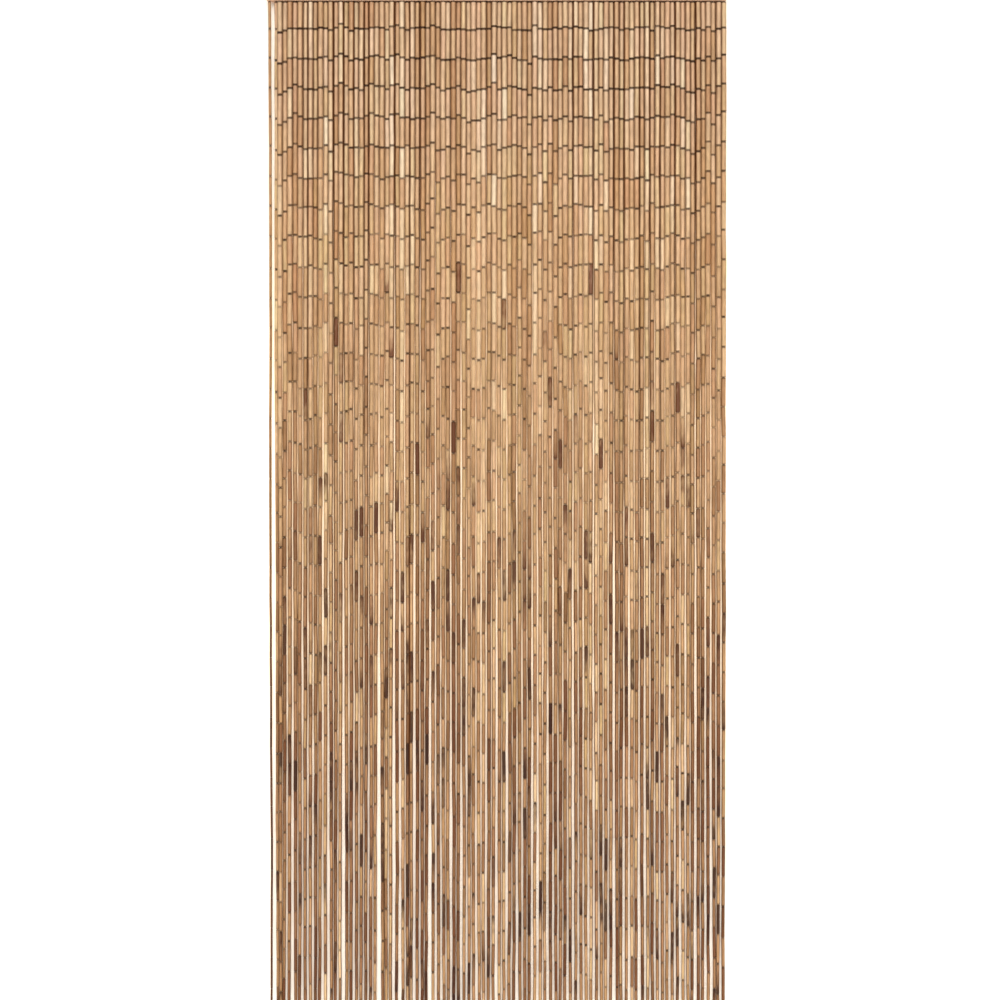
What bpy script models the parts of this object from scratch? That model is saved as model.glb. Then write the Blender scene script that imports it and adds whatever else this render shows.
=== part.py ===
"""Bamboo door curtain: a wooden batten with 90 strings of bamboo tubes hanging from it.

Run it with: blender --background --python part.py

The frame is in metres with +Z up. The origin is the centre of the batten's back face, the face that goes
against the wall over a doorway. The front of the curtain faces -Y, and +X is to the right seen from the front.
"""

import bmesh
import bpy
import numpy as np

# Driving sizes, in metres
CURTAIN_WIDTH = 0.900  # the batten's length, and the width that the strings fill
CURTAIN_DROP = 2.000  # from the batten's top face to the end of the longest string
STRING_COUNT = 90
BATTEN_HEIGHT = 0.022
BATTEN_DEPTH = 0.018
BATTEN_EASE = 0.0012  # rounding of the batten's long edges and ends
STRIP_HEIGHT = 0.003  # the row of wire eyes under the batten, as one narrow strip
TOUCH_GAP = 0.0003  # space left between pieces that touch
FIRST_TUBE = 0.0535  # from the batten's underside to the first joint between tubes
TUBE_PITCH = 0.0584  # from joint to joint on the rest of a string
TUBES_PER_RING = 4  # a strand has a ring of points at every fourth joint
END_SPREAD = 0.012  # how much shorter than the longest string the shortest one is
SETTLE_TOP = 0.0027  # strings hang this far in front of and behind the middle plane, by turns, at the top
SETTLE_FOOT = 0.0014  # and this far at the foot
SECTION_SHARE = 0.82  # a strand's square side, as a share of the tube's diameter
STRAY_SHARE = 0.34  # how far a string strays, as a share of the room beside it
BOW_SHARE = 0.05  # how far it bows halfway down, as a share of that room
SEED = 90

# Sizes that follow from them
PITCH = CURTAIN_WIDTH / STRING_COUNT
BATTEN_UNDERSIDE = -BATTEN_HEIGHT / 2
STRIP_TOP = BATTEN_UNDERSIDE - TOUCH_GAP
STRIP_BOTTOM = STRIP_TOP - STRIP_HEIGHT
LOWEST_END = BATTEN_HEIGHT / 2 - CURTAIN_DROP
STRING_LENGTH = BATTEN_UNDERSIDE - LOWEST_END
MIDDLE_PLANE = -BATTEN_DEPTH / 2

# The tubes are cut in turn from one cane, thick end first, so they get thinner down the string.
# Columns: share of the string's length below the batten, tube diameter in metres.
CANE_TAPER = (
    (0.00, 0.0109),
    (0.15, 0.0106),
    (0.30, 0.0097),
    (0.45, 0.0087),
    (0.60, 0.0078),
    (0.80, 0.0069),
    (1.00, 0.0061),
)

# Strings of slimmer cane than the rest, counted from the left.
# Columns: string number, size at the head and size at the foot as a share of the other strings'.
SLIM_STRINGS = (
    (1, 0.52, 0.66),
    (2, 0.62, 0.90),
)

# Strings that hang visibly out of line at the head, counted from the left.
# Columns: string number, sideways lean at the head as a share of the room beside it.
LEANING_HEADS = (
    (1, 0.15),
    (2, 0.50),
    (3, 0.10),
)

# Strings that hang visibly out of line at the foot, counted from the left.
# Columns: string number, sideways lean at the foot as a share of the room beside it.
LEANING_STRINGS = (
    (1, 0.55),
    (2, 1.15),
    (3, 0.45),
    (15, -0.40),
    (16, 0.24),
    (21, -0.34),
    (22, -0.76),
    (24, -0.32),
    (25, -0.74),
    (28, 0.08),
    (29, -0.60),
    (31, -0.18),
    (32, -0.62),
    (83, 0.14),
    (84, -0.28),
)


def remove_everything():
    """Start from an empty scene."""
    for thing in list(bpy.data.objects):
        bpy.data.objects.remove(thing, do_unlink=True)


def make_material(name, colour, roughness):
    """A plain Principled finish, with the colour in linear RGB."""
    material = bpy.data.materials.new(name)
    material.use_nodes = True
    shader = material.node_tree.nodes["Principled BSDF"]
    shader.inputs["Base Color"].default_value = (*colour, 1.0)
    shader.inputs["Roughness"].default_value = roughness
    shader.inputs["Metallic"].default_value = 0.0
    return material


def add_object(name, bm, material):
    """Turn a bmesh into a named object of the scene."""
    mesh = bpy.data.meshes.new(name)
    bm.to_mesh(mesh)
    bm.free()
    mesh.materials.append(material)
    piece = bpy.data.objects.new(name, mesh)
    bpy.context.scene.collection.objects.link(piece)
    return piece


def tube_diameter(number, share):
    """Diameter of the tube that hangs on this string at this share of its length. Strings are numbered from 0."""
    shares, diameters = np.array(CANE_TAPER).T
    sizes = {slim - 1: (top, foot) for slim, top, foot in SLIM_STRINGS}
    top, foot = sizes.get(number, (1.0, 1.0))
    return float(np.interp(share, shares, diameters)) * (top * (1.0 - share) + foot * share)


def strand_side(number, share):
    """Side of the square section that stands for the tube there."""
    return SECTION_SHARE * tube_diameter(number, share)


def string_habits():
    """How each string strays at its head and foot, bows halfway, and how much shorter it ends."""
    draw = np.random.default_rng(SEED)
    head = draw.uniform(-STRAY_SHARE, STRAY_SHARE, STRING_COUNT)
    foot = draw.uniform(-STRAY_SHARE, STRAY_SHARE, STRING_COUNT)
    bow = draw.uniform(-BOW_SHARE, BOW_SHARE, STRING_COUNT)
    shorter = END_SPREAD * draw.uniform(0.0, 1.0, STRING_COUNT)
    shorter[STRING_COUNT // 2] = 0.0
    for number, lean in LEANING_HEADS:
        head[number - 1] = lean
    for number, lean in LEANING_STRINGS:
        foot[number - 1] = lean
    return head, foot, bow, shorter


def strand_centre(number, share, habits):
    """Where the middle of a string is, seen from above, at a share of its length.

    A string strays only within the room that its neighbours leave it, and the room grows as the tubes get thinner.
    Strings settle by turns in front of and behind the middle plane, less so at the foot.
    """
    head, foot, bow, _ = habits
    room = PITCH - strand_side(number, share)
    stray = head[number] * (1.0 - share) + foot[number] * share + bow[number] * np.sin(np.pi * share)
    x = (number + 0.5) * PITCH - CURTAIN_WIDTH / 2 + stray * room
    settle = SETTLE_TOP * (1.0 - share) + SETTLE_FOOT * share
    return x, MIDDLE_PLANE + (settle if number % 2 else -settle)


def ring_heights(shorter):
    """Heights of a strand's rings: joints between tubes at even steps, then its own lower end."""
    first = BATTEN_UNDERSIDE - FIRST_TUBE
    step = TUBES_PER_RING * TUBE_PITCH
    end = LOWEST_END + shorter
    count = int((first - end) / step)
    return [first - step * k for k in range(count + 1)] + [end]


def build_batten():
    """The wooden batten: a bar with eased edges, its back face in the plane y = 0."""
    bm = bmesh.new()
    bmesh.ops.create_cube(bm, size=1.0)
    bmesh.ops.scale(bm, vec=(CURTAIN_WIDTH, BATTEN_DEPTH, BATTEN_HEIGHT), verts=bm.verts)
    bmesh.ops.translate(bm, vec=(0.0, MIDDLE_PLANE, 0.0), verts=bm.verts)
    batten = add_object("batten", bm, make_material("stained_pine", (0.42, 0.25, 0.16), 0.55))
    ease = batten.modifiers.new("eased_edges", "BEVEL")
    ease.width = BATTEN_EASE
    ease.segments = 2
    ease.limit_method = "ANGLE"
    return batten


def add_strip(bm):
    """The narrow strip, cut into a cell over each string and a cell between strings.

    Returns the bottom faces that the strings hang from, in order from the left.
    """
    left = -CURTAIN_WIDTH / 2
    edges_x = [left]
    for number in range(STRING_COUNT):
        middle = left + (number + 0.5) * PITCH
        root_side = strand_side(number, 0.0)
        edges_x += [middle - root_side / 2, middle + root_side / 2]
    edges_x.append(CURTAIN_WIDTH / 2)
    depth = SECTION_SHARE * CANE_TAPER[0][1]
    front = MIDDLE_PLANE - depth / 2
    back = MIDDLE_PLANE + depth / 2
    corners = ((front, STRIP_BOTTOM), (back, STRIP_BOTTOM), (back, STRIP_TOP), (front, STRIP_TOP))
    rings = [[bm.verts.new((x, y, z)) for y, z in corners] for x in edges_x]
    roots = []
    for cell, (here, there) in enumerate(zip(rings, rings[1:])):
        for side in range(4):
            after = (side + 1) % 4
            face = bm.faces.new((here[side], there[side], there[after], here[after]))
            if side == 0 and cell % 2:
                roots.append(face)
    bm.faces.new(rings[0])
    bm.faces.new(reversed(rings[-1]))
    return roots


def hang_strand(bm, root, number, habits):
    """Extrude a string's root face down its line, ring by ring, each ring a square around the string's middle."""
    face = root
    for height in ring_heights(habits[3][number]):
        share = (BATTEN_UNDERSIDE - height) / STRING_LENGTH
        x, y = strand_centre(number, share, habits)
        half = strand_side(number, share) / 2
        middle = face.calc_center_median()
        lower = bmesh.ops.extrude_face_region(bm, geom=[face])["geom"]
        bm.faces.remove(face)
        face = next(item for item in lower if isinstance(item, bmesh.types.BMFace))
        for vert in face.verts:
            vert.co.x = x + (half if vert.co.x > middle.x else -half)
            vert.co.y = y + (half if vert.co.y > middle.y else -half)
            vert.co.z = height


def build_strings():
    """The strings: square strands, apart from each other, with their roots in one narrow strip."""
    habits = string_habits()
    bm = bmesh.new()
    roots = add_strip(bm)
    for number, root in enumerate(roots):
        hang_strand(bm, root, number, habits)
    bmesh.ops.recalc_face_normals(bm, faces=bm.faces)
    return add_object("strings", bm, make_material("bamboo_tubes", (0.56, 0.36, 0.19), 0.45))


def build_curtain():
    """The whole curtain."""
    remove_everything()
    build_batten()
    build_strings()


build_curtain()
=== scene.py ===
# %% [markdown]
# # A bamboo door curtain
#
# A curtain of this kind keeps flies out of a doorway and lets people through. Bamboo cane is cut into tubes
# as long as a finger, each tube is threaded on a wire with an eye at both ends, and the eyes hook into each
# other, so that thirty-odd tubes hang as one string. Ninety such strings hang side by side from a wooden
# batten.
#
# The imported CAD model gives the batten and 90 plain strands. This lesson dresses it: the batten gets its
# wood, and the strands are replaced by tubes, wires and eyes that follow the same lines. Lengths are in
# metres, +Z is up, the front faces -Y, and the origin is the centre of the batten's back face.

import bpy
import numpy as np
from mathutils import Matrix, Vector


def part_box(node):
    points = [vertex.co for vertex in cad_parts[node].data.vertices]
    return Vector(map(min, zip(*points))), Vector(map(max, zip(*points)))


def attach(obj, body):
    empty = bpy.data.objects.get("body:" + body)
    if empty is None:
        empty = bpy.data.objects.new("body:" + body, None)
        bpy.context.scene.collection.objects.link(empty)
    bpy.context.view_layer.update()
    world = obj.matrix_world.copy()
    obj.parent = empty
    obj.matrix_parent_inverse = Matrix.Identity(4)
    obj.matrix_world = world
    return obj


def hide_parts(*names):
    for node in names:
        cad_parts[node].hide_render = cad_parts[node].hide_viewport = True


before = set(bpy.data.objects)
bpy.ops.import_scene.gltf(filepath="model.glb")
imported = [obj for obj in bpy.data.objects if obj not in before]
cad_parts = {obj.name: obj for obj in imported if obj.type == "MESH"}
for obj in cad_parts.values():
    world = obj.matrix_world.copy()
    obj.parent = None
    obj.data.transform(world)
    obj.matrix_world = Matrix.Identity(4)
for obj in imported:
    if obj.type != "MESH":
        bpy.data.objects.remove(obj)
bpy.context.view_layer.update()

# %% [markdown]
# ## The camera
#
# The photograph was taken straight on, level with the middle of the curtain, and from far enough away that
# the strings look parallel. A camera close to the curtain with a wide lens would show the outer strings
# from the side. So the camera stands five metres back, and its lens is worked out from the width that it
# has to cover.

# %% Camera
VIEW_WIDTH = 1.965  # metres of the curtain's plane across the picture
VIEW_CENTRE = (0.0067, -0.9892)  # X and Z in the middle of the picture
VIEW_DISTANCE = 5.0
SENSOR_WIDTH_MM = 36.0

camera_data = bpy.data.cameras.new("camera")
camera_data.sensor_width = SENSOR_WIDTH_MM
camera_data.lens = SENSOR_WIDTH_MM * VIEW_DISTANCE / VIEW_WIDTH
camera = bpy.data.objects.new("camera", camera_data)
camera.location = (VIEW_CENTRE[0], -VIEW_DISTANCE, VIEW_CENTRE[1])
camera.rotation_euler = (np.pi / 2, 0.0, 0.0)
bpy.context.scene.collection.objects.link(camera)
bpy.context.scene.camera = camera
print("lens:", round(camera_data.lens, 1), "mm")

# %% [markdown]
# ## Surfaces from arrays
#
# Every new piece below is a grid of points that numpy works out all at once. Typing in thousands of tubes, or
# copying an object thousands of times, would be slow and would look copied. One array holds every corner of
# every tube, and one call hands it to Blender.

# %% Put a grid of points into a mesh
def wrapped_faces(copies, rings, sides, first_ring=0, last_ring=None):
    """Corner numbers of the four-sided faces of many tubes, each a stack of rings that close round.

    A face joins neighbours (ring, side), (ring, side + 1), (ring + 1, side + 1) and (ring + 1, side). Rings
    wrap round too unless last_ring says where they stop.
    """
    last_ring = rings if last_ring is None else last_ring
    copy, ring, side = np.meshgrid(
        np.arange(copies), np.arange(first_ring, last_ring), np.arange(sides), indexing="ij"
    )
    next_ring, next_side = (ring + 1) % rings, (side + 1) % sides
    start = copy * rings * sides
    corners = (
        start + ring * sides + side,
        start + ring * sides + next_side,
        start + next_ring * sides + next_side,
        start + next_ring * sides + side,
    )
    return np.stack(corners, axis=-1).reshape(-1, 4)


def put_in_mesh(name, points, faces, material):
    """Make an object at the origin from an array of points and an array of four-cornered faces."""
    mesh = bpy.data.meshes.new(name)
    mesh.vertices.add(len(points))
    mesh.vertices.foreach_set("co", points.astype(np.float32).ravel())
    mesh.loops.add(faces.size)
    mesh.loops.foreach_set("vertex_index", faces.astype(np.int32).ravel())
    mesh.polygons.add(len(faces))
    mesh.polygons.foreach_set("loop_start", np.arange(0, faces.size, 4, dtype=np.int32))
    mesh.polygons.foreach_set("use_smooth", np.ones(len(faces), dtype=bool))
    mesh.update(calc_edges=True)
    mesh.materials.append(material)
    piece = bpy.data.objects.new(name, mesh)
    bpy.context.scene.collection.objects.link(piece)
    return piece


def grid_faces(steps):
    """Corner numbers of a flat grid's faces: (i, j), (i + 1, j), (i + 1, j + 1) and (i, j + 1)."""
    corner = (np.arange(steps)[:, None] * (steps + 1) + np.arange(steps)).reshape(-1, 1)
    return corner + np.array([0, steps + 1, steps + 2, 1])


def store(piece, name, kind, values):
    """Keep one value for each point of the mesh, under a name that a material can read."""
    layer = piece.data.attributes.new(name, kind, "POINT")
    layer.data.foreach_set("vector" if kind == "FLOAT_VECTOR" else "value", values.astype(np.float32).ravel())


print("a tube of 6 rings and 10 sides has", len(wrapped_faces(1, 6, 10)), "faces")

# %% [markdown]
# ## Helpers for materials
#
# Colours are easiest to choose as sRGB hex values, but a shader works in linear light, so one function
# turns them over. Another adds a node to a material, sets it and joins it to what feeds it. Two short ones
# work out a pattern's scale from real millimetres, and how far a noise may lighten or darken a colour. With
# these, a material reads like a recipe.

# %% Colours and nodes
def linear(hex_colour):
    """Turn an sRGB hex colour into linear red, green, blue and alpha.

    Each channel is divided by 12.92 when dark, and otherwise raised to the power 2.4 after a small shift.
    """
    srgb = np.array([int(hex_colour[place : place + 2], 16) for place in (1, 3, 5)]) / 255
    light = np.where(srgb <= 0.04045, srgb / 12.92, ((srgb + 0.055) / 1.055) ** 2.4)
    return (*light.tolist(), 1.0)


def new_material(name):
    """Make a material and return it with its node tree and its Principled shader."""
    material = bpy.data.materials.new(name)
    material.use_nodes = True
    return material, material.node_tree, material.node_tree.nodes["Principled BSDF"]


def add(tree, kind, inputs=(), stops=(), **settings):
    """Add a node and return it.

    inputs holds a value, or the output that feeds it, for each socket, and stops are a ramp's colours.
    """
    node = tree.nodes.new("ShaderNode" + kind)
    for name, value in settings.items():
        setattr(node, name, value)
    for socket, value in dict(inputs).items():
        if isinstance(value, bpy.types.NodeSocket):
            tree.links.new(value, node.inputs[socket])
        else:
            node.inputs[socket].default_value = value
    for number, (place, colour) in enumerate(stops):
        elements = node.color_ramp.elements
        element = elements[number] if number < 2 else elements.new(place)
        element.position = place
        element.color = linear(colour)
    return node


def scale_for(*sizes):
    """Scale of a pattern whose features have these sizes in millimetres: 1000 divided by each size."""
    return tuple(1000 / size for size in sizes)


def from_noise(noise, low, high, highest=0.7):
    """Inputs of a Map Range that turns a noise, which mostly stays between 0.3 and 0.7, into low to high."""
    fac = noise.outputs["Fac"]
    return {"Value": fac, "From Min": 0.3, "From Max": highest, "To Min": low, "To Max": high}


print("sRGB #808080 is", round(linear("#808080")[0], 3), "in linear light")

# %% [markdown]
# ## The batten
#
# The batten is a planed bar of pine, 900 mm long and 22 by 18 mm thick, stained a pinkish brown. Fast-grown
# pine shows growth rings about 5 mm apart, which run the length of the bar as long, slightly wandering
# lines, and fibres finer than half a millimetre. The CAD bar has the right shape and eased edges already,
# so only its material is made here. It reads Object coordinates, which are metres in the frame, so the
# grain goes through the wood and comes out at the ends as rings.

# %% Stained pine, planed
# Stain gives the eye a soft sheen, lines of darker late wood, and faint clouds where it soaked in unevenly.
RING_STEP_MM = 5.2
WANDER_SCALE = 45.0  # waves of about 22 mm, seen at the end of the bar
RING_BEND = 0.010  # how far the rings wander
HEART = (0.0, 0.031, 0.052)  # the heart of the tree lay this far from the bar
DRAWN_OUT = 0.035  # along the bar everything about the rings is drawn out this much
WAVE_TURNS = 20  # Blender's wave texture multiplies a place by this before it takes its turns

pine, tree, shader = new_material("stained_pine_planed")
place = add(tree, "TexCoord").outputs["Object"]
along_bar = add(tree, "Mapping", {"Vector": place, "Location": HEART, "Scale": (DRAWN_OUT, 1.0, 1.0)})
wander = add(tree, "TexNoise", {"Vector": along_bar.outputs[0], "Scale": WANDER_SCALE, "Detail": 2.0})
bend = add(tree, "VectorMath", {0: wander.outputs["Color"], 3: RING_BEND}, operation="SCALE")
bent = add(tree, "VectorMath", {0: along_bar.outputs[0], 1: bend.outputs[0]}, operation="ADD")
rings = add(
    tree,
    "TexWave",
    {"Vector": bent.outputs[0], "Scale": 2 * np.pi / WAVE_TURNS * 1000 / RING_STEP_MM, "Distortion": 0.0},
    wave_type="RINGS",
    rings_direction="X",
    wave_profile="SAW",
)
fibre_place = add(tree, "Mapping", {"Vector": place, "Scale": scale_for(22.0, 0.45, 0.45)})
fibres = add(
    tree, "TexNoise", {"Vector": fibre_place.outputs[0], "Scale": 1.0, "Detail": 3.0, "Roughness": 0.6}
)
wood = add(
    tree, "ValToRGB", {"Fac": rings.outputs["Fac"]},
    ((0.0, "#DFB89C"), (1.0, "#C49778"), (0.55, "#D8AE90"), (0.88, "#BE9172")),
)
fibre_shade = add(tree, "MapRange", from_noise(fibres, 0.84, 1.08))
shaded = add(tree, "Mix", {0: 1.0, 6: wood.outputs["Color"], 7: fibre_shade.outputs[0]},
             data_type="RGBA", blend_type="MULTIPLY")
cloud_place = add(tree, "Mapping", {"Vector": place, "Scale": scale_for(140.0, 30.0, 30.0)})
clouds = add(tree, "TexNoise", {"Vector": cloud_place.outputs[0], "Scale": 1.0, "Detail": 2.0})
cloud_shade = add(tree, "MapRange", from_noise(clouds, 0.88, 1.06))
stained = add(tree, "Mix", {0: 1.0, 6: shaded.outputs[2], 7: cloud_shade.outputs[0]},
              data_type="RGBA", blend_type="MULTIPLY")
sheen = add(tree, "MapRange", from_noise(fibres, 0.46, 0.62))
relief = add(tree, "Bump", {"Height": fibres.outputs["Fac"], "Strength": 0.35, "Distance": 0.0002})
tree.links.new(stained.outputs[2], shader.inputs["Base Color"])
tree.links.new(sheen.outputs[0], shader.inputs["Roughness"])
tree.links.new(relief.outputs[0], shader.inputs["Normal"])

for slot_of_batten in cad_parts["batten"].material_slots:
    slot_of_batten.material = pine
batten_low, batten_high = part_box("batten")
print("batten:", [round(1000 * (high - low), 1) for low, high in zip(batten_low, batten_high)], "mm")

# %% [markdown]
# ## Where the strings hang
#
# Each string has its own habits: it strays a little at its head and foot, bows halfway, and ends where its
# last tube does. The CAD strands were made from these same numbers, so the same draws in the same order put
# the tubes on the strands. A string can stray only within the room that its neighbours leave. The room is
# small at the top, where the tubes are thick and touch, and large at the foot.

# %% Sizes and habits of the strings
CURTAIN_WIDTH = 0.900
CURTAIN_DROP = 2.000
STRING_COUNT = 90
BATTEN_TOP = 0.011
BATTEN_UNDERSIDE = -0.011
MIDDLE_PLANE = -0.009
PITCH = CURTAIN_WIDTH / STRING_COUNT
LOWEST_END = BATTEN_TOP - CURTAIN_DROP
STRING_LENGTH = BATTEN_UNDERSIDE - LOWEST_END
SECTION_SHARE = 0.82  # a CAD strand's side, as a share of the tube's diameter
STRAY_SHARE = 0.34  # how far a string strays, as a share of the room beside it
BOW_SHARE = 0.05  # how far it bows halfway down, as a share of that room
END_SPREAD = 0.012  # how much shorter than the longest string the shortest one is

# Share of the string's length below the batten, and tube diameter there in metres
CANE_TAPER = (
    (0.00, 0.0109),
    (0.15, 0.0106),
    (0.30, 0.0097),
    (0.45, 0.0087),
    (0.60, 0.0078),
    (0.80, 0.0069),
    (1.00, 0.0061),
)
# Strings of slimmer cane: number from the left, and size at the head and foot as a share of the rest
SLIM_STRINGS = ((1, 0.52, 0.66), (2, 0.62, 0.90))
# String number from the left, and its sideways lean at the head as a share of the room beside it
LEANING_HEADS = ((1, 0.15), (2, 0.50), (3, 0.10))
# String number from the left, and its sideways lean at the foot as a share of the room beside it
LEANING_STRINGS = (
    (1, 0.55),
    (2, 1.15),
    (3, 0.45),
    (15, -0.40),
    (16, 0.24),
    (21, -0.34),
    (22, -0.76),
    (24, -0.32),
    (25, -0.74),
    (28, 0.08),
    (29, -0.60),
    (31, -0.18),
    (32, -0.62),
    (83, 0.14),
    (84, -0.28),
)

draw = np.random.default_rng(90)
head = draw.uniform(-STRAY_SHARE, STRAY_SHARE, STRING_COUNT)
foot = draw.uniform(-STRAY_SHARE, STRAY_SHARE, STRING_COUNT)
bow = draw.uniform(-BOW_SHARE, BOW_SHARE, STRING_COUNT)
shorter = END_SPREAD * draw.uniform(0.0, 1.0, STRING_COUNT)
shorter[STRING_COUNT // 2] = 0.0
for numbers_and_leans, lean in ((LEANING_STRINGS, foot), (LEANING_HEADS, head)):
    numbers, leans = np.array(numbers_and_leans).T
    lean[numbers.astype(int) - 1] = leans
slim = np.ones((STRING_COUNT, 2))
slim[[number - 1 for number, *_ in SLIM_STRINGS]] = [sizes for _, *sizes in SLIM_STRINGS]
print("strings:", STRING_COUNT, "at a pitch of", round(1000 * PITCH, 1), "mm")

# %% [markdown]
# ## Where the joints are
#
# Tubes are cut by hand, so no two are quite as long. Near the batten the joints still make rows, with small
# steps where a bundle of strings was hung a little higher or lower. Every tube adds its own error, so lower
# down the rows drift apart until no row is left. A running sum of small errors gives just that.

# %% Heights of the joints
TUBES_ON_STRING = 34
FIRST_TUBE = 0.0535  # from the batten's underside to the first joint
TUBE_PITCH = 0.0584  # from joint to joint
HOOK_GAP = 0.0008  # between the batten and the first tube
BUNDLE_STEP = 0.0009  # typical step between bundles of strings
LENGTH_ERROR = 0.0020  # typical error of one tube
STRING_DRIFT = 0.0012  # how much longer or shorter all the tubes of a string may be
LAST_TUBE = (0.030, 0.072)  # shortest and longest last tube
BUNDLE_SIZES = (2, 7)  # a bundle has at least the first number of strings, and fewer than the second
ODD_STRINGS = 0.25  # share of the strings that hang out of their bundle's row
ODD_STEP = 0.0042  # typical step of such a string
MOST_STEP = 0.007  # no string starts further out of the row than this

cut = np.random.default_rng(91)
bundle_sizes = cut.integers(*BUNDLE_SIZES, STRING_COUNT)
bundle_heights = np.repeat(cut.normal(0.0, BUNDLE_STEP, STRING_COUNT), bundle_sizes)[:STRING_COUNT]
is_odd = cut.uniform(size=STRING_COUNT) < ODD_STRINGS
own_heights = np.where(is_odd, cut.normal(0.0, ODD_STEP, STRING_COUNT), 0.0)
joint_number = np.arange(TUBES_ON_STRING - 1)
joints = BATTEN_UNDERSIDE - FIRST_TUBE - TUBE_PITCH * joint_number[None, :]
joints = joints + (bundle_heights + own_heights)[:, None].clip(-MOST_STEP, MOST_STEP)
joints = joints + cut.uniform(-STRING_DRIFT, STRING_DRIFT, (STRING_COUNT, 1)) * joint_number
joints = joints + np.cumsum(cut.normal(0.0, LENGTH_ERROR, (STRING_COUNT, TUBES_ON_STRING - 1)), axis=1)
ends = LOWEST_END + shorter
last_length = joints[:, -1] - ends
put_right = (last_length.clip(*LAST_TUBE) - last_length)[:, None] * (joint_number / joint_number[-1]) ** 2
heights = np.column_stack([np.full(STRING_COUNT, BATTEN_UNDERSIDE - HOOK_GAP), joints + put_right, ends])
shortest = -np.diff(heights).max()
print("tubes:", STRING_COUNT * TUBES_ON_STRING, "with the shortest", round(1000 * shortest, 1), "mm")

# %% [markdown]
# ## How thick the tubes are, and where they are
#
# The tubes of a string are cut in turn from one cane, thick end first, so they taper from 11 mm at the top
# to 6 mm at the foot. Tubes of 11 mm can't hang side by side on a pitch of 10 mm, so in a real curtain they
# settle by turns a little forward and back. Each tube also hangs slightly askew, because its wire comes out
# beside the middle of the bore. Where two tubes would run into each other, both give way in depth.

# %% Thickness and place of every joint
SETTLE = (0.0027, 0.0014)  # how far strings settle forward or back, at the top and at the foot
DEPTH_ERROR = 0.0002  # typical error of a joint's place, forward or back
ASKEW = 0.00025  # how far a joint is typically out of line at the top
ASKEW_GROWTH = 0.4  # how much more it is so at the foot
MOST_ASKEW = 0.0006  # no joint is further out of line than this
WANDER = 0.11  # how far a string wanders to and fro on its way down, as a share of the room beside it
WAVES = (0.8, 2.6)  # fewest and most waves that it makes
STRING_SPREAD = 0.015  # typical difference between the canes of two strings
STRING_SIZES = (0.975, 1.025)  # the slimmest and the stoutest, as a share of the usual
CLEAR = 0.0001  # left between tubes that touch

share = (BATTEN_UNDERSIDE - heights) / STRING_LENGTH
shares, diameters = np.array(CANE_TAPER).T
cane = np.interp(share, shares, diameters) * (slim[:, :1] * (1 - share) + slim[:, 1:] * share)
room = PITCH - SECTION_SHARE * cane
stray = head[:, None] * (1 - share) + foot[:, None] * share + bow[:, None] * np.sin(np.pi * share)
string_number = np.arange(STRING_COUNT)[:, None]
hang = np.random.default_rng(92)
askew = hang.normal(0.0, ASKEW, share.shape) * (1 + ASKEW_GROWTH * share)
askew = askew.clip(-MOST_ASKEW, MOST_ASKEW)
waves = hang.uniform(*WAVES, (STRING_COUNT, 1))
wander = WANDER * np.sin(2 * np.pi * (waves * share + hang.uniform(0.0, 1.0, (STRING_COUNT, 1))))
joint_x = (string_number + 0.5) * PITCH - CURTAIN_WIDTH / 2 + (stray + wander) * room + askew

string_size = hang.normal(1.0, STRING_SPREAD, (STRING_COUNT, 1)).clip(*STRING_SIZES)
joint_radius = cane / 2 * string_size
side = np.where(string_number % 2, 1.0, -1.0)
settle = side * (SETTLE[0] * (1 - share) + SETTLE[1] * share)
settle = settle + hang.normal(0.0, DEPTH_ERROR, share.shape)
across = np.abs(np.diff(joint_x, axis=0))
needed = np.sqrt(((joint_radius[1:] + joint_radius[:-1] + CLEAR) ** 2 - across**2).clip(0.0))
missing = (needed - np.abs(np.diff(settle, axis=0))).clip(0.0) / 2
give_way = np.maximum(np.pad(missing, ((1, 0), (0, 0))), np.pad(missing, ((0, 1), (0, 0))))
joint_y = MIDDLE_PLANE + settle + side * give_way
print("strings give way by up to", round(1000 * give_way.max(), 2), "mm")

# %% [markdown]
# ## The tubes
#
# A tube is a ring-shaped wall carried round its own axis: six points for the wall's section, outside,
# chamfered end, flat end and bore, and ten steps round. That is sixty faces, few enough to repeat three
# thousand times. The edges between wall and end are marked sharp, so the wall stays evenly round and the
# cut stays crisp.
#
# A few numbers go with every point, for the material to read: the tube's own tone and tint, the place along
# the tube from -1 to 1, how scorched it is, how dark its cut is stained, and how much painted shade it gets
# for facing the groove between two strings, where light doesn't reach.

# %% Corners of every tube
SIDES = 10
TUBE_RINGS = 6
JOINT_GAP = 0.0004  # between two tubes of a string
CHAMFER = 0.0006  # along the tube
CHAMFER_IN = CHAMFER * 0.7  # towards its middle
WALL = (0.0015, 0.0010)  # thickness of the cane's wall, at the top and at the foot
TUBE_SPREAD = 0.018  # typical difference between two tubes of one cane
TUBE_SIZES = (0.97, 1.03)  # the slimmest and the stoutest, as a share of the usual
OVAL = 0.02  # how far from round a tube is
tube_shape = np.random.default_rng(93)

tube_top = np.stack([joint_x[:, :-1], joint_y[:, :-1], heights[:, :-1]], axis=-1)
tube_foot = np.stack([joint_x[:, 1:], joint_y[:, 1:], heights[:, 1:]], axis=-1)
tube_length = (tube_top - tube_foot)[..., 2]
tube_share = (share[:, 1:] + share[:, :-1]) / 2
tube_size = tube_shape.normal(1.0, TUBE_SPREAD, tube_share.shape).clip(*TUBE_SIZES)
tube_radius = (joint_radius[:, 1:] + joint_radius[:, :-1]) / 2 * tube_size
tube_bore = tube_radius - (WALL[0] * (1 - tube_share) + WALL[1] * tube_share)
turn = np.arange(SIDES) * 2 * np.pi / SIDES


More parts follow.
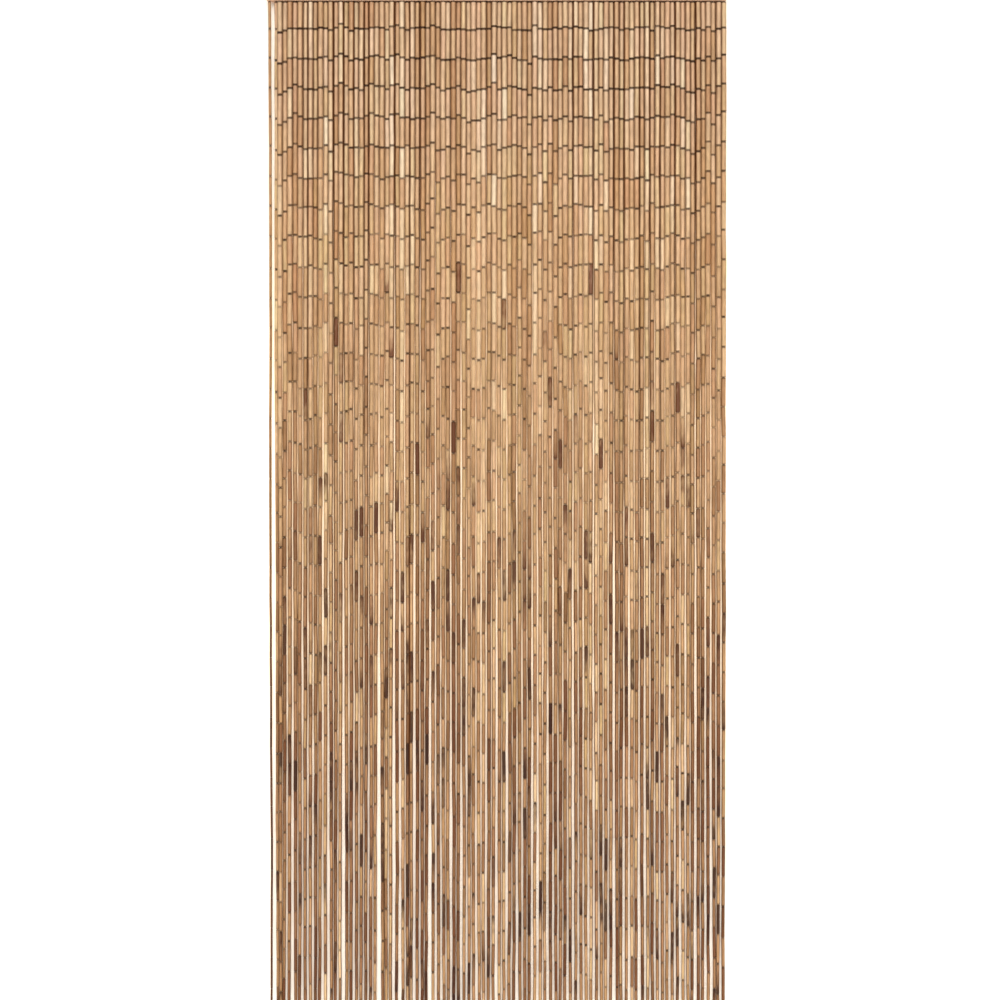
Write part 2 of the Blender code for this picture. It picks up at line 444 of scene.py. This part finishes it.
def tube_points(top, foot_end, radius, bore, length):
    """Corners of many tubes, as an array of tube, ring, side and XYZ.

    A corner is the axis point at its height, plus the ring's radius times the cosine and sine of its turn.
    The radius swells and shrinks by a fiftieth twice round, as cane that isn't quite round does.
    """
    half_gap = JOINT_GAP / 2 / length
    chamfer = CHAMFER / length + half_gap
    lift = np.stack([chamfer, 1 - chamfer, 1 - half_gap, 1 - half_gap, half_gap, half_gap], axis=-1)
    wide = radius - CHAMFER_IN
    reach = np.stack([radius, radius, wide, bore, bore, wide], axis=-1)
    phase = tube_shape.uniform(0.0, 2 * np.pi, (len(radius), 1, 1))
    oval = 1 + OVAL * np.cos(2 * turn + phase)
    axis = foot_end[:, None, None] + (top - foot_end)[:, None, None] * lift[:, :, None, None]
    round_off = np.stack([np.cos(turn), np.sin(turn), np.zeros(SIDES)], axis=-1)
    return axis + (reach[:, :, None] * oval)[..., None] * round_off, 2 * lift - 1


print("tube length from", round(1000 * tube_length.min()), "to", round(1000 * tube_length.max()), "mm")

# %% [markdown]
# ## What each tube looks like
#
# Bamboo is a natural thing: most tubes are straw or honey coloured, some lean to pink or to green, and a
# few are nearly black where the cane was scorched or mouldy. Those few are more common towards the thin
# end. Tubes that were cut from one cane look alike, so a part of the tone and tint belongs to the whole
# string. The painted shade in the grooves between strings differs too: here and there a groove is painted
# fully dark.

# %% Tone, tint and scorching
SCORCH = (0.15, 0.95)  # how scorched an end of such a tube is, at least and at most
SAME_CANE = 0.45  # how much of the tone belongs to the whole string
SAME_TINT = 0.25  # and how much of the tint
looks = np.random.default_rng(94)
dark_chance = np.interp(tube_share, (0.0, 0.25, 0.45, 0.6, 1.0), (0.0, 0.005, 0.08, 0.20, 0.25))
scorched = looks.uniform(size=tube_share.shape) < dark_chance
tone = looks.beta(2.4, 2.2, tube_share.shape)
scorch_ends = looks.uniform(*SCORCH, (2, *tube_share.shape)) * scorched
tint = looks.uniform(0.0, 1.0, tube_share.shape) * (1 - SAME_TINT)
tint = tint + looks.uniform(0.0, SAME_TINT, (STRING_COUNT, 1))
print("scorched tubes:", int(scorched.sum()))

# %% Painted groove shade, and the stain on each cut
GROOVE = (0.30, 0.72)  # how much painted shade the groove on a string's left gets, at least and at most
DARK_SHARE = 0.08  # share of grooves painted fully in shade
DARK_GROOVES = (8, 13, 15, 20, 25, 28, 30, 68, 70, 73, 75, 77, 80, 84)  # the grooves painted darkest, counted from the left
OPEN_GROOVES = (0, 1, STRING_COUNT)  # the least painted shade, at the curtain's ends, where light comes in

# Painted shade in the groove on each string's left, and one more at the right end.
groove = looks.uniform(*GROOVE, STRING_COUNT + 1)
groove[looks.uniform(size=STRING_COUNT + 1) < DARK_SHARE] = 1.0
groove[list(DARK_GROOVES)] = 1.15
groove[list(OPEN_GROOVES)] = 0.25
# The painted shade on the flanks of the tubes thins out where the strings begin to stand apart and light gets
# in.
light_gets_in = np.interp(tube_share, (0.07, 0.30, 0.42, 0.62), (0.0, 0.42, 0.36, 0.0))

# Near the batten every cut is dark all the way round. Lower down, where tubes rub and knock against each
# other, the stain stays at the front and back, and on some cuts it is nearly gone.
fresh = np.interp(share, (0.08, 0.26), (1.0, 0.0))
stain = fresh * looks.uniform(0.70, 0.95, share.shape) + (1 - fresh) * looks.uniform(0.40, 1.0, share.shape)
tone = (1 - SAME_CANE) * tone + SAME_CANE * looks.uniform(0.15, 0.90, (STRING_COUNT, 1))
tone[0] *= 0.3  # the slim string at the left end is of dark cane
print("tone of the cane from", round(tone.min(), 2), "to", round(tone.max(), 2))

# %% [markdown]
# ## Bamboo
#
# The outer skin of bamboo is smooth and slightly glossy, with fibres under it that run straight along the
# cane. They are about 0.4 mm apart. They can't be seen from across a room, so coarser streaks of about 2 mm
# and smudges of about a centimetre carry the look at that distance. The cut ends are stained dark, which is
# what marks the joints from afar. The tubes are coloured pale and pinkish near the top and darker and brown
# towards the foot, so two ramps are mixed by height. The cane between them is more golden than either, which
# a third ramp adds.

# %% Bamboo cane, split-free, sawn and left natural
# Natural skin gives the eye a satin shine along each tube, long fine lines, and a dark ring at each cut.
# The flanks that face the grooves between strings get painted shade.
bamboo, tree, shader = new_material("natural_bamboo_sawn")
place = add(tree, "TexCoord").outputs["Object"]
height = add(tree, "SeparateXYZ", {0: place}).outputs["Z"]
cane_facts = add(tree, "SeparateXYZ", {0: add(tree, "Attribute", attribute_name="cane").outputs["Vector"]})
tube_tone, tube_along, tube_groove_shade = cane_facts.outputs[:3]
tube_tint = add(tree, "Attribute", attribute_name="tint").outputs["Fac"]
tube_scorch = add(tree, "Attribute", attribute_name="scorch").outputs["Fac"]
tube_stain = add(tree, "Attribute", attribute_name="stain").outputs["Fac"]

# %% Bamboo's colours, by tone, height and tint
UP_CURTAIN = {"From Min": -CURTAIN_DROP, "From Max": 0.0}  # turns a height into 0 at the foot, 1 at the top
BROWN_FROM, BROWN_BELOW = -0.45, -1.45  # heights between which the pale colours of the top give way to the darker ones below

upper = add(tree, "ValToRGB", {"Fac": tube_tone}, (
    (0.0, "#A07A54"), (1.0, "#E8D8C2"), (0.3, "#B8916E"), (0.7, "#D0B294"),
))
lower = add(tree, "ValToRGB", {"Fac": tube_tone}, (
    (0.0, "#402210"), (1.0, "#ECCFA8"), (0.3, "#6C442A"), (0.7, "#B08A64"),
))
go_down = add(tree, "MapRange", {"Value": height, "From Min": BROWN_FROM, "From Max": BROWN_BELOW})
by_height = add(tree, "Mix", {0: go_down.outputs[0], 6: upper.outputs["Color"], 7: lower.outputs["Color"]},
                data_type="RGBA")
tints = add(tree, "ValToRGB", {"Fac": tube_tint}, (
    (0.0, "#FFF3EC"), (1.0, "#FAFCE8"), (0.35, "#FFFAF2"), (0.7, "#FFFCF0"),
))
tinted = add(tree, "Mix", {0: 1.0, 6: by_height.outputs[2], 7: tints.outputs["Color"]},
             data_type="RGBA", blend_type="MULTIPLY")
up_string = add(tree, "MapRange", {"Value": height, **UP_CURTAIN})
gold = add(tree, "ValToRGB", {"Fac": up_string.outputs[0]}, (
    (0.0, "#FFFFFF"), (1.0, "#FFFFFF"), (0.25, "#FFFFFF"),
    (0.40, "#FFFCF3"), (0.77, "#FFFCF3"), (0.90, "#FFFFFF"),
))
golden = add(tree, "Mix", {0: 1.0, 6: tinted.outputs[2], 7: gold.outputs["Color"]},
             data_type="RGBA", blend_type="MULTIPLY")

# %% Bamboo's fibres, streaks and smudges
fibre_place = add(tree, "Mapping", {"Vector": place, "Scale": scale_for(0.45, 0.45, 22.0)})
fibres = add(tree, "TexNoise", {"Vector": fibre_place.outputs[0], "Scale": 1.0, "Detail": 2.0})
streak_place = add(tree, "Mapping", {"Vector": place, "Scale": scale_for(2.2, 2.2, 45.0)})
streaks = add(tree, "TexNoise", {"Vector": streak_place.outputs[0], "Scale": 1.0, "Detail": 2.0})
smudge_place = add(tree, "Mapping", {"Vector": place, "Scale": scale_for(9.0, 9.0, 20.0)})
smudges = add(tree, "TexNoise", {"Vector": smudge_place.outputs[0], "Scale": 1.0, "Detail": 3.0})
fibre_shade = add(tree, "MapRange", from_noise(fibres, 0.86, 1.08))
streak_shade = add(tree, "MapRange", from_noise(streaks, 0.88, 1.09))
smudge_shade = add(tree, "MapRange", from_noise(smudges, 0.84, 1.05, highest=0.66))
fine = add(tree, "Math", {0: fibre_shade.outputs[0], 1: streak_shade.outputs[0]}, operation="MULTIPLY")
all_shade = add(tree, "Math", {0: fine.outputs[0], 1: smudge_shade.outputs[0]}, operation="MULTIPLY")
marked = add(tree, "Mix", {0: 1.0, 6: golden.outputs[2], 7: all_shade.outputs[0]},
             data_type="RGBA", blend_type="MULTIPLY")

# %% Bamboo's scorched tubes, painted groove shade and stained cuts
blotch = add(tree, "Math", {0: smudges.outputs["Fac"], 1: 0.9, 2: tube_scorch}, operation="MULTIPLY_ADD")
burnt = add(
    tree, "MapRange", {"Value": blotch.outputs[0], "From Min": 0.80, "From Max": 1.25, "To Max": 0.92}
)
scorch_colour = add(tree, "Mix", {0: go_down.outputs[0], 6: linear("#6A3A20"), 7: linear("#28120A")},
                    data_type="RGBA")
dark = add(tree, "Mix", {0: burnt.outputs[0], 6: marked.outputs[2], 7: scorch_colour.outputs[2]},
           data_type="RGBA")
# Painted shade: where a flank faces a groove, its colour is darkened towards this brown.
in_groove_shade = add(tree, "Mix", {0: tube_groove_shade, 6: dark.outputs[2], 7: linear("#5A2E0C")}, data_type="RGBA")
to_end = add(tree, "Math", {0: tube_along}, operation="ABSOLUTE")
ragged = add(tree, "Math", {0: streaks.outputs["Fac"], 1: 0.03, 2: to_end.outputs[0]},
             operation="MULTIPLY_ADD")
at_end = add(tree, "MapRange", {"Value": ragged.outputs[0], "From Min": 0.905, "From Max": 0.960})
stained_end = add(tree, "Math", {0: at_end.outputs[0], 1: tube_stain}, operation="MULTIPLY")
skin = add(tree, "Mix", {0: stained_end.outputs[0], 6: in_groove_shade.outputs[2], 7: linear("#331A08")},
           data_type="RGBA")

# %% Bamboo's satin sheen
gloss = add(tree, "MapRange", from_noise(fibres, 0.40, 0.56))
relief = add(tree, "Bump", {"Height": fibres.outputs["Fac"], "Strength": 0.30, "Distance": 0.00015})
tree.links.new(skin.outputs[2], shader.inputs["Base Color"])
tree.links.new(gloss.outputs[0], shader.inputs["Roughness"])
tree.links.new(relief.outputs[0], shader.inputs["Normal"])
shader.inputs["IOR"].default_value = 1.5
shader.inputs["Specular IOR Level"].default_value = 0.18
print("bamboo:", len(tree.nodes), "nodes")

# %% [markdown]
# ## Hanging the tubes
#
# The 3,060 tubes go into five pieces of 18 strings each, so that each piece stays light. All of them stand
# for the CAD node of the strings. On a tube's flanks the painted shade of the grooves shows, and its share
# there depends on how far a side faces left or right.

# %% Tubes, in five pieces
STRINGS_IN_PIECE = 18
PIECE_NAMES = ("tubes_far_left", "tubes_left", "tubes_middle", "tubes_right", "tubes_far_right")
FLANK_STARTS = 0.31  # the cosine of 72 degrees: a side turned further from sideways gets no painted shade
FLANK_STEP = 0.5  # and one within 36 degrees of sideways gets all the painted shade
to_right = ((np.cos(turn) - FLANK_STARTS) / FLANK_STEP).clip(0.0, 1.0)
to_left = ((-np.cos(turn) - FLANK_STARTS) / FLANK_STEP).clip(0.0, 1.0)

for number, name in enumerate(PIECE_NAMES):
    some = slice(number * STRINGS_IN_PIECE, (number + 1) * STRINGS_IN_PIECE)
    count = STRINGS_IN_PIECE * TUBES_ON_STRING
    points, along = tube_points(
        tube_top[some].reshape(-1, 3),
        tube_foot[some].reshape(-1, 3),
        tube_radius[some].ravel(),
        tube_bore[some].ravel(),
        tube_length[some].ravel(),
    )
    piece = put_in_mesh(name, points.reshape(-1, 3), wrapped_faces(count, TUBE_RINGS, SIDES), bamboo)

    left_of = np.repeat(groove[:-1][some], TUBES_ON_STRING)[:, None]
    right_of = np.repeat(groove[1:][some], TUBES_ON_STRING)[:, None]
    # Painted shade on the flanks: the groove's amount to the left or right, less where light gets in.
    painted_flank_shade = (left_of * to_left + right_of * to_right - light_gets_in[some].reshape(-1, 1)).clip(0.0, 1.0)
    cane_facts_of = np.stack(
        np.broadcast_arrays(tone[some].reshape(-1, 1, 1), along[:, :, None], painted_flank_shade[:, None, :]), axis=-1
    )
    store(piece, "cane", "FLOAT_VECTOR", cane_facts_of)
    store(piece, "tint", "FLOAT", np.repeat(tint[some].ravel(), TUBE_RINGS * SIDES))
    at_foot, at_top = scorch_ends[:, some].reshape(2, -1, 1)
    scorch = at_foot * (1 - along) / 2 + at_top * (1 + along) / 2
    store(piece, "scorch", "FLOAT", np.repeat(scorch.ravel(), SIDES))
    stain_foot, stain_top = stain[some, 1:].reshape(-1, 1), stain[some, :-1].reshape(-1, 1)
    round_part = fresh[some, 1:].reshape(-1, 1, 1)
    spread = round_part + (1 - round_part) * np.abs(np.sin(turn)) ** 1.5
    stain_of = np.where(along > 0, stain_top, stain_foot)[:, :, None] * spread
    store(piece, "stain", "FLOAT", stain_of)

    edges = np.zeros(2 * len(piece.data.edges), dtype=np.int32)
    piece.data.edges.foreach_get("vertices", edges)
    ring_of = edges.reshape(-1, 2) // SIDES % TUBE_RINGS
    sharp = piece.data.attributes.new("sharp_edge", "BOOLEAN", "EDGE")
    sharp.data.foreach_set("value", ring_of[:, 0] == ring_of[:, 1])

    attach(piece, "root")
    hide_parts("strings")
    print(name, "has", 2 * len(piece.data.polygons), "triangles")

# %% [markdown]
# ## Wires and eyes
#
# A wire goes through each tube and is bent into an eye at both ends. The upper tube's eye hangs down and
# the lower tube's eye stands up, a quarter turn from it, and they hook into each other like the links of a
# chain. A ring cut out of a bar could stand for an eye, but a real one is round wire bent to a U, so its
# round section is carried along that path here. Each eye is half hidden in the bore. The topmost eye of a
# string is driven into the batten, and the lowest one hangs free.

# %% Sweep a round section along many paths
WIRE_SIDES = 4


def swept_points(paths, normal, radius):
    """Corners of wires, as an array of wire, ring, side and XYZ.

    Each ring is the path's point plus the radius times a turn in the plane of two directions: the wire's own
    normal, and the path's direction crossed with it.
    """
    ahead = np.gradient(paths, axis=1)
    ahead = ahead / np.linalg.norm(ahead, axis=-1, keepdims=True)
    beside = np.cross(ahead, normal[:, None])
    turn = np.arange(WIRE_SIDES) * 2 * np.pi / WIRE_SIDES + np.pi / 4
    round_off = (
        np.cos(turn)[None, None, :, None] * beside[:, :, None]
        + np.sin(turn)[None, None, :, None] * normal[:, None, None]
    )
    return paths[:, :, None] + radius * round_off


def closed_wires(name, paths, normal, radius, material):
    """Put swept wires into a mesh, with a face over each end."""
    count, rings = paths.shape[:2]
    points = swept_points(paths, normal, radius)
    walls = wrapped_faces(count, rings, WIRE_SIDES, 0, rings - 1)
    start = np.arange(count)[:, None] * rings * WIRE_SIDES
    first_cap = start + np.arange(WIRE_SIDES)[::-1]
    last_cap = start + (rings - 1) * WIRE_SIDES + np.arange(WIRE_SIDES)
    return put_in_mesh(name, points.reshape(-1, 3), np.concatenate([walls, first_cap, last_cap]), material)


print("an eye of 7 rings has", len(wrapped_faces(1, 7, WIRE_SIDES, 0, 6)) + 2, "faces")

# %% Iron wire, drawn and annealed
# Annealed iron gives the eye a dull brown-grey metal with specks of rust.
iron, tree, shader = new_material("annealed_iron_wire")
place = add(tree, "TexCoord").outputs["Object"]
RUST_SPECK_MM = 1.6
rust = add(tree, "TexNoise", {"Vector": place, "Scale": 1000 / RUST_SPECK_MM, "Detail": 3.0})
metal_colour = add(tree, "ValToRGB", {"Fac": rust.outputs["Fac"]}, (
    (0.40, "#5A5048"), (0.62, "#4A2F20"),
))
dullness = add(
    tree,
    "MapRange",
    {"Value": rust.outputs["Fac"], "From Min": 0.35, "From Max": 0.65, "To Min": 0.38, "To Max": 0.68},
)
tree.links.new(metal_colour.outputs["Color"], shader.inputs["Base Color"])
tree.links.new(dullness.outputs[0], shader.inputs["Roughness"])
shader.inputs["Metallic"].default_value = 1.0
print("iron:", len(tree.nodes), "nodes")

# %% Eyes at every joint
WIRE = 0.0008  # thickness of the wire
EYE_HALF_WIDTH = (0.0019, 0.0010)  # at the top and at the foot
EYE_LEG = 0.0030
EYE_IN_BORE = 0.42  # an eye is at most this share of the tube's radius wide, so that it goes into the bore
BEND_POINTS = 5

# The U-shaped path: down one leg, half round through five points, and up the other leg.
half_turn = np.linspace(np.pi, 2 * np.pi, BEND_POINTS)
u_side = np.concatenate([[-1.0], np.cos(half_turn), [1.0]])
u_down = np.concatenate([[0.0], np.sin(half_turn), [0.0]])
u_leg = np.concatenate([[1.0], np.zeros(BEND_POINTS), [1.0]])


def eye_paths(centres, half_width, sideways, up):
    """Paths of many U-shaped eyes. centres are where they hook, and up is 1 or -1 for where the legs point.

    A point is the hook's centre, plus the half width times the U's sideways and downward shape, plus the
    legs.
    """
    rise = half_width[:, None] * (1 + u_down) + EYE_LEG * u_leg - WIRE / 2
    flat = sideways * (half_width[:, None] * u_side)[..., None]
    return centres[:, None] + flat + up * rise[..., None] * np.array([0.0, 0.0, 1.0])


hook = np.stack([joint_x, joint_y, heights], axis=-1).reshape(-1, 3)
hook_width = (EYE_HALF_WIDTH[0] * (1 - share) + EYE_HALF_WIDTH[1] * share).ravel()
hook_width = np.minimum(hook_width, EYE_IN_BORE * joint_radius.ravel())
right, back = np.array([1.0, 0.0, 0.0]), np.array([0.0, 1.0, 0.0])
not_last = (np.arange(len(hook)) % (TUBES_ON_STRING + 1)) < TUBES_ON_STRING
hanging_eyes = closed_wires(
    "eyes_hanging", eye_paths(hook, hook_width, right, 1.0), np.tile(back, (len(hook), 1)), WIRE / 2, iron
)
standing_eyes = closed_wires(
    "eyes_standing",
    eye_paths(hook[not_last], hook_width[not_last], back, -1.0),
    np.tile(right, (int(not_last.sum()), 1)),
    WIRE / 2,
    iron,
)
for piece in (hanging_eyes, standing_eyes):
    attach(piece, "root")
    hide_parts("strings")
    print(piece.name, "has", 2 * len(piece.data.polygons), "triangles")

# %% [markdown]
# ## The floor and the light
#
# The photograph has a plain white ground and soft light from the front and above. A single small lamp would
# throw hard shadows, and light from all around would leave the grooves between the tubes without shade. So
# a wide soft sun stands above the camera, the sky fills in weakly, and a weaker sun behind lets the back be
# seen. A last sun stands straight overhead. It hardly touches upright tubes, but it lifts the floor to
# white.

# %% Floor, painted
# Floor paint gives the eye an even pale matt ground.
FLOOR_BELOW = 0.05  # the floor is this far under the longest string
floor_level = LOWEST_END - FLOOR_BELOW
floor_paint, tree, shader = new_material("pale_floor_paint")
shader.inputs["Base Color"].default_value = linear("#F0F0EE")
shader.inputs["Roughness"].default_value = 0.9
speckle = add(tree, "TexNoise", {"Vector": add(tree, "TexCoord").outputs["Object"], "Scale": 40.0})
tree.links.new(add(tree, "Bump", {"Height": speckle.outputs["Fac"], "Strength": 0.02}).outputs[0],
               shader.inputs["Normal"])
FLOOR_RADIUS = 6.5
FLOOR_STEPS = 32

# A square grid pressed into a disc: each of u and v is shortened by the root of one less half the other's
# square.
from_middle = np.linspace(-1, 1, FLOOR_STEPS + 1)
u, v = np.meshgrid(from_middle, from_middle, indexing="ij")
disc = FLOOR_RADIUS * np.stack([u * np.sqrt(1 - v**2 / 2), v * np.sqrt(1 - u**2 / 2)], axis=-1).reshape(-1, 2)
floor_points = np.column_stack([disc, np.full(len(disc), floor_level)])
floor = put_in_mesh("floor", floor_points, grid_faces(FLOOR_STEPS), floor_paint)
print("floor at", round(floor_level, 3), "m")

# %% [markdown]
# ## White paper behind the curtain
#
# The light that comes through between the strings has to fall on something, or every gap shows as a hard
# white line. So a wide sheet of white studio paper hangs close behind. In the open it is lit until it is
# plain white. Behind the strings it gets only what the gaps let through, which is little near the batten
# and much near the foot. Light also goes to and fro between paper and cane and turns warm on the way. A
# render with few bounces loses it, so a weak warm glow by height gives it back. Only the camera sees that
# glow, and it lights nothing. The paper is drawn from its front alone, so that the curtain can be looked at
# from the back too, and it throws no shadow.

# %% Studio paper, matt
# Matt paper gives the eye a plain white without shine.
PAPER_BEHIND = 0.003  # from the batten's back
PAPER_WIDTH = 7.0
PAPER_TOP = 1.2
PAPER_STEPS = 12
paper, tree, shader = new_material("studio_paper_matt")
shader.inputs["Base Color"].default_value = linear("#FCF6EA")
shader.inputs["Roughness"].default_value = 0.95
shader.inputs["Specular IOR Level"].default_value = 0.1
height = add(tree, "SeparateXYZ", {0: add(tree, "TexCoord").outputs["Object"]}).outputs["Z"]
up_sheet = add(tree, "MapRange", {"Value": height, **UP_CURTAIN})
glow = add(tree, "ValToRGB", {"Fac": up_sheet.outputs[0]}, (
    (0.0, "#1A120A"), (1.0, "#000000"), (0.2, "#66503A"),
    (0.4, "#B4966E"), (0.6, "#D0AE84"), (0.8, "#54483A"),
))
light_path = add(tree, "LightPath")
tree.links.new(glow.outputs["Color"], shader.inputs["Emission Color"])
tree.links.new(light_path.outputs["Is Camera Ray"], shader.inputs["Emission Strength"])
from_behind = add(tree, "NewGeometry").outputs["Backfacing"]
unseen = add(tree, "Math", {0: from_behind, 1: light_path.outputs["Is Shadow Ray"]}, operation="MAXIMUM")
clear = add(tree, "BsdfTransparent")
one_sided = add(tree, "MixShader", {0: unseen.outputs[0], 1: shader.outputs[0], 2: clear.outputs[0]})
tree.links.new(one_sided.outputs[0], tree.nodes["Material Output"].inputs["Surface"])

# The sheet is a flat grid of x and z, and its faces point to the front.
across, upward = np.meshgrid(
    np.linspace(-PAPER_WIDTH / 2, PAPER_WIDTH / 2, PAPER_STEPS + 1),
    np.linspace(floor_level, PAPER_TOP, PAPER_STEPS + 1),
    indexing="ij",
)
sheet_points = np.stack([across, np.full(across.shape, PAPER_BEHIND), upward], axis=-1).reshape(-1, 3)
sheet = put_in_mesh("studio_paper", sheet_points, grid_faces(PAPER_STEPS), paper)
print("paper:", PAPER_WIDTH, "m wide")

# %% Light
def add_sun(name, strength, azimuth, elevation, softness):
    """A sun that shines from an azimuth, 0 in front and 90 on the right, and an elevation, in degrees."""
    sun = bpy.data.lights.new(name, "SUN")
    sun.energy = strength
    sun.angle = np.radians(softness)
    lamp = bpy.data.objects.new(name, sun)
    lamp.rotation_euler = (np.radians(90 - elevation), 0.0, np.radians(azimuth))
    bpy.context.scene.collection.objects.link(lamp)


# Columns: name, strength, azimuth, elevation, softness
add_sun("key", 3.1, 0.0, 25.0, 45.0)
add_sun("back", 2.4, 165.0, 35.0, 30.0)
add_sun("overhead", 0.05, 0.0, 90.0, 20.0)
sky = bpy.data.worlds.new("studio")
sky.use_nodes = True
bpy.context.scene.world = sky
tree = sky.node_tree
tree.nodes.clear()
seen = add(tree, "LightPath").outputs["Is Camera Ray"]
fill = add(tree, "Background", {"Color": linear("#FFFFFF"), "Strength": 0.32})
ground = add(tree, "Background", {"Color": linear("#FFFFFF"), "Strength": 1.0})
either = add(tree, "MixShader", {0: seen, 1: fill.outputs[0], 2: ground.outputs[0]})
tree.links.new(either.outputs[0], add(tree, "OutputWorld").inputs["Surface"])
bpy.context.scene.view_settings.view_transform = "Standard"
